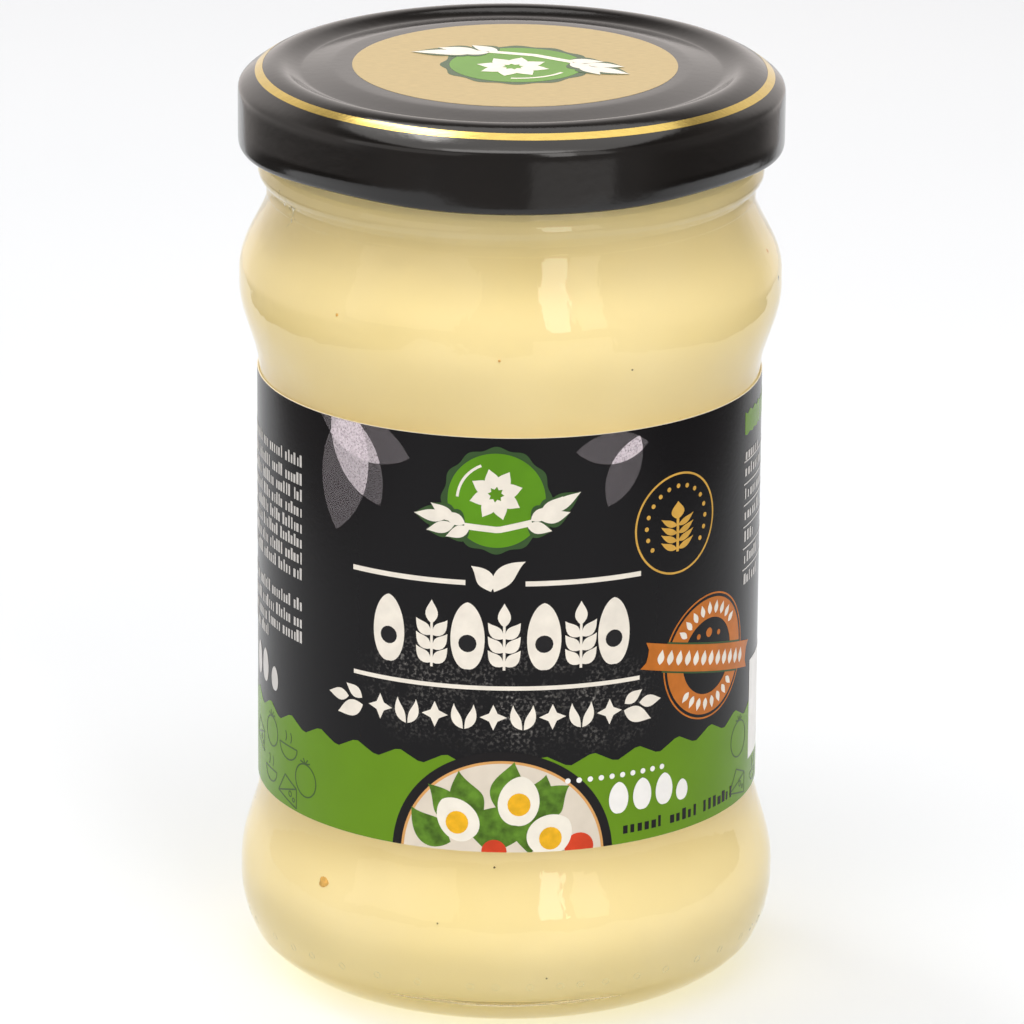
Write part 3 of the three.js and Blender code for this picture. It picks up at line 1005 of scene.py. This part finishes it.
ribbon_along, ribbon_up = np.meshgrid(np.linspace(-1, 1, 33), np.linspace(-1, 1, 5))
notch = 1.3 * (1 - np.abs(ribbon_up)) * np.sign(ribbon_along) * (np.abs(ribbon_along) > 0.999)
ribbon = np.stack(on_ribbon(ribbon_along * ribbon_half[0] - notch, ribbon_up * ribbon_half[1]), -1)
print_piece("label_seal_ribbon", copper_ink, (0.052, [(ribbon, False)]))
ribbon_shadow = np.stack(on_ribbon(ribbon_along * 8.0, ribbon_up * (ribbon_half[1] + 0.25)), -1)
print_piece("label_seal_shadow", dark_green_ink, (0.036, [(ribbon_shadow, False)]))
seal_marks = [
    leaf(on_ribbon(along, -1.0), on_ribbon(along, 1.0), 1.05) for along in np.linspace(-8.6, 8.6, 12)
]
for turn in np.radians(np.concatenate([np.linspace(38, 142, 9), np.linspace(-135, -45, 8)])):
    toward = np.array([math.cos(turn), math.sin(turn)])
    seal_marks.append(leaf(seal + 5.5 * toward, seal + 7.2 * toward, 0.85))
print_piece("label_seal_marks", cream_ink, (0.068, seal_marks))
seal_dots = [(0.0, 3.1, 0.62), (-2.1, 3.0, 0.36), (2.1, 2.6, 0.36)]
seal_dots = [disc((seal[0] + x, seal[1] + y), radius) for x, y, radius in seal_dots]
print_piece("label_seal_dots", copper_ink, (0.024, seal_dots))


# Plate: a dark-rimmed plate cut off by the label's lower edge, with three halved eggs on leaves
# and two tomatoes, drawn as plain shapes.
plate = (-0.5, 24.0)
rim_black = ink("rim_black", rgb(24, 21, 22), 0.1)
print_piece("plate_rim", rim_black, (0.036, [disc(plate, 14.3, 13.1)]))
plate_cream = ink("plate_cream", rgb(222, 212, 196), 0.05, 300.0)
print_piece("plate_middle", plate_cream, (0.036, [disc(plate, 12.75)]))
plate_gold = ink("plate_gold", rgb(214, 160, 96))
print_piece("plate_line", plate_gold, (0.036, [disc(plate, 13.1, 12.75)]))
salad_ink = ink("salad_ink", rgb(84, 122, 34), 0.45, 700.0)
salad = [
    ((-7.0, 26.0), (-12.2, 30.2), 4.0, 0.1),
    ((-6.5, 28.0), (-10.0, 33.5), 3.6, -0.1),
    ((-3.0, 29.0), (-6.0, 35.6), 4.4, 0.1),
    ((-0.5, 30.0), (1.0, 37.0), 4.4, 0.0),
    ((2.0, 30.0), (5.0, 35.2), 4.0, -0.1),
    ((4.0, 29.0), (8.0, 33.6), 4.2, 0.1),
    ((-1.0, 31.0), (-2.0, 24.5), 7.5, 0.0),
    ((3.0, 31.0), (3.0, 24.5), 5.0, 0.0),
]
print_piece("plate_salad", salad_ink, (0.050, [leaf(*spec) for spec in salad]))
egg_places = [((-6.2, 29.2), 2.5, 3.1, 38.0), ((1.6, 31.8), 2.6, 3.3, -8.0)]
egg_places += [((5.6, 27.2), 2.7, 3.0, -50.0)]
egg_ink = ink("egg_ink", rgb(240, 235, 222), 0.04)
print_piece("plate_eggs", egg_ink, (0.064, [egg(*spec) for spec in egg_places]))
yolk_ink = ink("yolk_ink", rgb(234, 178, 30), 0.12, 900.0)
plate_yolks = [disc((at[0], at[1] - 0.5), 1.45, 0.0, 1.05) for at, *_ in egg_places]
print_piece("plate_yolks", yolk_ink, (0.078, plate_yolks))
tomato_ink = ink("tomato_ink", rgb(208, 66, 34), 0.12, 400.0)
tomatoes = [disc((9.3, 25.3), 1.9), disc((-1.5, 25.0), 1.6)]
print_piece("plate_tomatoes", tomato_ink, (0.064, tomatoes))


# Small print: rows of plain ticks on both sides, rules on the right, a white panel, ten dots, four
# bold ovals with a row of ticks beside the plate, and line drawings on the green.
def ticks(start, end, bottom, seed, tall=1.55, wide=0.34):
    """A row of small upright bars in groups, with seeded heights, widths and group sizes, from a
    margin on the left or the right to an end."""
    draw = np.random.default_rng(seed)
    step = math.copysign(wide, end - start)
    shapes, across = [], start
    while abs(across - start) < abs(end - start):
        for _ in range(draw.integers(3, 9)):
            top = bottom + tall * draw.choice([0.72, 0.72, 1.0])
            sides = sorted((across, across + step * draw.uniform(0.8, 1.5)))
            shapes.append(bar(*sides, bottom, top))
            across += step * 2.1
        across += step * 1.8
    return shapes


left_rows = [71.2, 68.8, 66.7, 64.6, 62.5, 60.5, 58.4, 56.3, 52.2, 49.9, 47.9, 46.0]
left_print = []
for row, bottom in enumerate(left_rows):
    margin = -40.0 if row == len(left_rows) - 1 else -30.2
    left_print += ticks(margin, -60.0, bottom, 40 + row)
left_print += [egg((-44.6, 41.7), 1.3, 2.2), egg((-41.3, 41.7), 1.3, 2.2), egg((-37.6, 41.0), 1.1, 1.6)]
right_rows = [70.2, 67.2, 64.4, 61.5, 58.6, 55.8]
right_print = [bar(37.9, 60.0, height - 0.1, height + 0.1) for height in right_rows]
for row, height in enumerate([72.4, *right_rows]):
    right_print += ticks(38.3, 42.0, height - 2.0, 70 + row, 1.4, 0.5)
print_piece("label_small_print", grey_ink, (0.030, left_print + right_print))
white_ink = ink("white_ink", rgb(244, 243, 240), 0.03)
ovals = [egg((across, 31.2), 1.35, 2.1) for across in (14.6, 18.0, 21.4)]
ovals += [egg((24.4, 30.4), 1.0, 1.4)]
dots = [disc((across, 34.2), 0.36) for across in 7.75 + 1.47 * np.arange(10)]
panel = [bar(41.5, 60.0, 29.3, 42.7)]
print_piece("label_white_print", white_ink, (0.096, ovals + dots), (0.030, panel))
print_piece("label_dark_print", rim_black, (0.048, ticks(15.3, 31.5, 26.2, 90, 1.5, 0.5)))


def tomato_drawing(across, height, radius):
    """A round fruit in outline with a crown of short lines."""
    top = height + radius
    crown = [
        stroke([(across, top), (across + 1.1 * math.cos(t), top + 0.8 * math.sin(t))], 0.2)
        for t in np.radians([20, 60, 110, 160])
    ]
    return [circle((across, height), radius, 0.2), *crown]


def bowl_drawing(across, height, reach):
    """A bowl in outline, with two wisps over it."""
    turn = np.linspace(np.pi, 2 * np.pi, 14)
    cup = np.stack([across + reach * np.cos(turn), height + 0.8 * reach * np.sin(turn)], -1)
    bends = ((0.0, 0.5), (0.3, 1.2), (0.0, 1.9))
    wisps = [stroke([(across + x + a, height + b) for a, b in bends], 0.2) for x in (-0.6, 0.7)]
    return [stroke(cup, 0.2), stroke([cup[0], cup[-1]], 0.2), *wisps]


def wedge_drawing(across, height, reach):
    """A wedge of cheese in outline, with two round holes."""
    corners = [(-1, -0.3), (1, -0.8), (1, 0.3), (-1, -0.3), (-0.2, 0.8), (1, 0.3)]
    outline = [(across + reach * x, height + reach * y) for x, y in corners]
    return [
        *[stroke([a, b], 0.2) for a, b in zip(outline[:-1], outline[1:])],
        circle((across + 0.35 * reach, height - 0.15 * reach), 0.35, 0.18),
        circle((across + 0.7 * reach, height - 0.4 * reach), 0.25, 0.18),
    ]


drawings = [
    *tomato_drawing(-29.5, 29.7, 2.2),
    *bowl_drawing(-33.6, 33.2, 2.3),
    *wedge_drawing(-33.9, 27.2, 2.4),
    *tomato_drawing(-38.6, 33.6, 2.0),
    *bowl_drawing(-39.0, 28.4, 2.1),
    *wedge_drawing(-44.4, 31.6, 2.4),
    *tomato_drawing(37.5, 33.4, 2.4),
    *wedge_drawing(37.4, 27.4, 2.5),
    *bowl_drawing(44.4, 26.9, 1.6),
]
line_ink = ink("line_ink", rgb(62, 88, 36))
print_piece("label_line_drawings", line_ink, (0.036, drawings))


# Lid print: the rosette again on the gold disc, turned nearly upside down as the lid was shut.
def on_lid(across, up, lift):
    """Points on the flat middle of the lid."""
    return np.stack([across, up, panel_level + print_lift + lift + 0 * across], -1)


rims, fields, creams = rosette((0.6, -0.3), 9.4, 155.0)
lid_edges = {"place": on_lid, "low": -disc_radius, "high": disc_radius}
print_piece("lid_rosette_rim", dark_green_ink, (0.020, rims[:1]), (0.052, rims[1:]), **lid_edges)
print_piece("lid_rosette_field", badge_ink, (0.036, fields), **lid_edges)
print_piece("lid_rosette_flower", cream_ink, (0.068, creams), **lid_edges)
